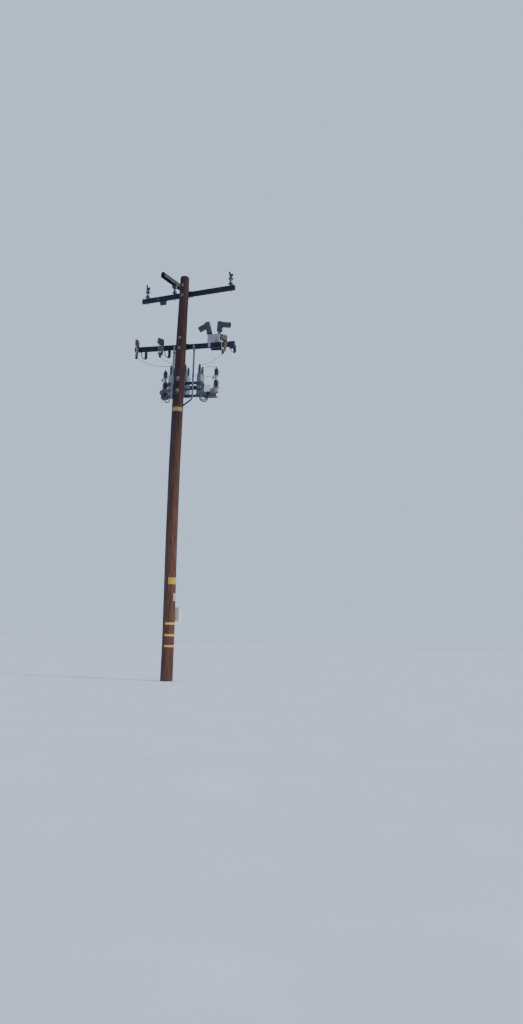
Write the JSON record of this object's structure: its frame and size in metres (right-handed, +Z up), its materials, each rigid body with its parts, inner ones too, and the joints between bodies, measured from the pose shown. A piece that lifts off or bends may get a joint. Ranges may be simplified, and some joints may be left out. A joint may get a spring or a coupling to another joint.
{
  "type": "wooden utility pole",
  "caption": "Tall wooden utility pole with a line arm, an equipment arm with fused cutouts and a transformer, and a rack of capacitors.",
  "frame": {"origin": "middle of the flat foot of the pole at ground level", "axes": "+Z up the pole, +X along the equipment arm and the capacitor rack, +Y towards the side that carries the arms and the rack"},
  "size_m": [3.079, 1.2788, 11.6316],
  "materials": {
    "aluminium_rack": "satin",
    "arm_wood": "matte",
    "black_cover": "matte",
    "bronze": "satin",
    "cable_black": "satin",
    "dark_glaze": "glossy",
    "dark_steel": "matte",
    "fibre_tube": "satin",
    "galvanised": "matte",
    "grey_conduit": "satin",
    "grey_paint": "satin",
    "grey_polymer": "satin",
    "pale_sheet": "satin",
    "tan_sheet": "satin",
    "treated_wood": "matte",
    "yellow_sheet": "satin"
  },
  "bodies": {
    "pole_body": {"arm_block": "black_cover", "arrester_brackets": "dark_steel", "arrester_caps": "black_cover", "arrester_lead_1": "cable_black", "arrester_lead_2": "cable_black", "arrester_lead_3": "cable_black", "arresters": "black_cover", "bushing_covers": "black_cover", "cabinet_bracket": "galvanised", "capacitor_bushings": "dark_glaze", "capacitor_caps": "black_cover", "capacitor_tanks": "grey_paint", "conductor_cover": "black_cover", "conduits": "grey_conduit", "control_cabinet": "grey_paint", "control_cable_1": "cable_black", "control_cable_2": "cable_black", "control_cable_3": "cable_black", "control_cable_4": "cable_black", "cutout_brackets": "galvanised", "cutout_contacts": "bronze", "cutout_hinges": "bronze", "cutout_hoods": "black_cover", "cutout_insulators": "grey_polymer", "equipment_arm": "arm_wood", "equipment_arm_bracket": "dark_steel", "insulator_pins": "galvanised", "jumper_1": "cable_black", "jumper_2": "cable_black", "jumper_3": "cable_black", "junction_box": "grey_paint", "line_arm": "arm_wood", "line_arm_bracket": "dark_steel", "line_clamps": "dark_steel", "line_insulators": "dark_glaze", "number_plate": "yellow_sheet", "pipe_clips": "galvanised", "pole": "treated_wood", "pole_bolts": "galvanised", "rack_bracket": "galvanised", "rack_ends": "aluminium_rack", "rack_rails": "aluminium_rack", "reflective_strips": "yellow_sheet", "side_tag": "pale_sheet", "switch_arms": "aluminium_rack", "switch_insulators": "dark_glaze", "switch_jumper_1": "cable_black", "switch_jumper_2": "cable_black", "switch_mechanisms": "grey_paint", "switch_terminals": "grey_paint", "terminal_box": "grey_paint", "terminal_covers": "black_cover", "transformer_bracket": "dark_steel", "transformer_bushings": "grey_polymer", "transformer_tank": "grey_paint", "upper_band": "tan_sheet"},
    "tube_1": {"fuse_tube_1": "fibre_tube"},
    "tube_2": {"fuse_tube_2": "fibre_tube"},
    "tube_3": {"fuse_tube_3": "fibre_tube"}
  },
  "joints": [
    {"name": "fuse_tube_1_drop", "type": "hinge", "parent": "pole_body", "child": "tube_1", "pos_m": [-1.38109, -0.04964, 9.252], "axis": [0.9659, 0.2588, 0], "range_deg": [0, 150]},
    {"name": "fuse_tube_2_drop", "type": "hinge", "parent": "pole_body", "child": "tube_2", "pos_m": [-0.67591, -0.05228, 9.252], "axis": [0.9781, -0.2079, 0], "range_deg": [0, 150]},
    {"name": "fuse_tube_3_drop", "type": "hinge", "parent": "pole_body", "child": "tube_3", "pos_m": [1.21609, -0.04127, 9.252], "axis": [0.9272, -0.3746, 0], "range_deg": [0, 150]}
  ]
}
